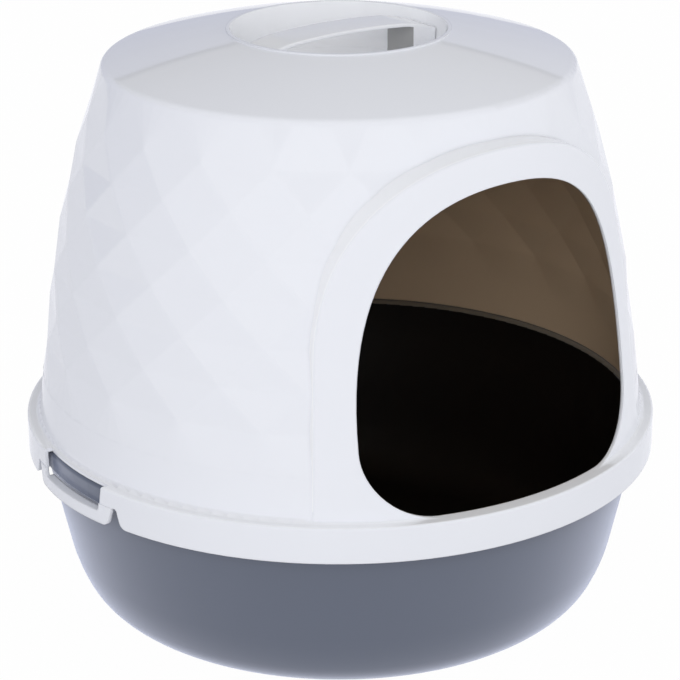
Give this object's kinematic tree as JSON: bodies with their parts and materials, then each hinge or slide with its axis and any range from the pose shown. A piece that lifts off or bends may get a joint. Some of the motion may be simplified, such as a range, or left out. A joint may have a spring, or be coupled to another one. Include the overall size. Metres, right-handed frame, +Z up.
{
  "type": "covered litter box",
  "caption": "Round litter pan under a lift-off faceted hood with an arched entrance, a recessed carry handle on top and a flexible latch tab on each side.",
  "frame": {"origin": "centre of the pan's round flat foot, on the floor", "axes": "+Z up; -Y is the front, where the entrance is; the latch tabs are at -X (left) and +X (right)"},
  "size_m": [0.453, 0.45, 0.4163],
  "materials": {
    "pan": "satin slate-grey moulded polypropylene",
    "hood": "satin white moulded polypropylene",
    "handle": "satin white moulded polypropylene",
    "tabs": "satin white moulded polypropylene"
  },
  "bodies": {
    "pan": {"pan": "pan"},
    "hood": {"hood": "hood", "carry_handle": "handle"},
    "left_latch": {"left_latch_tab": "tabs"},
    "right_latch": {"right_latch_tab": "tabs"}
  },
  "joints": [
    {"name": "hood_lift", "type": "slide", "parent": "pan", "child": "hood", "axis": [0, 0, 1], "range_m": [0, 0.2]},
    {"name": "left_latch_flex", "type": "hinge", "parent": "hood", "child": "left_latch", "pos_m": [-0.222, 0, 0.12955], "axis": [0, 1, 0], "range_deg": [0, 20], "stiffness_Nm_per_rad": 0.3},
    {"name": "right_latch_flex", "type": "hinge", "parent": "hood", "child": "right_latch", "pos_m": [0.222, 0, 0.12955], "axis": [0, -1, 0], "range_deg": [0, 20], "stiffness_Nm_per_rad": 0.3}
  ]
}
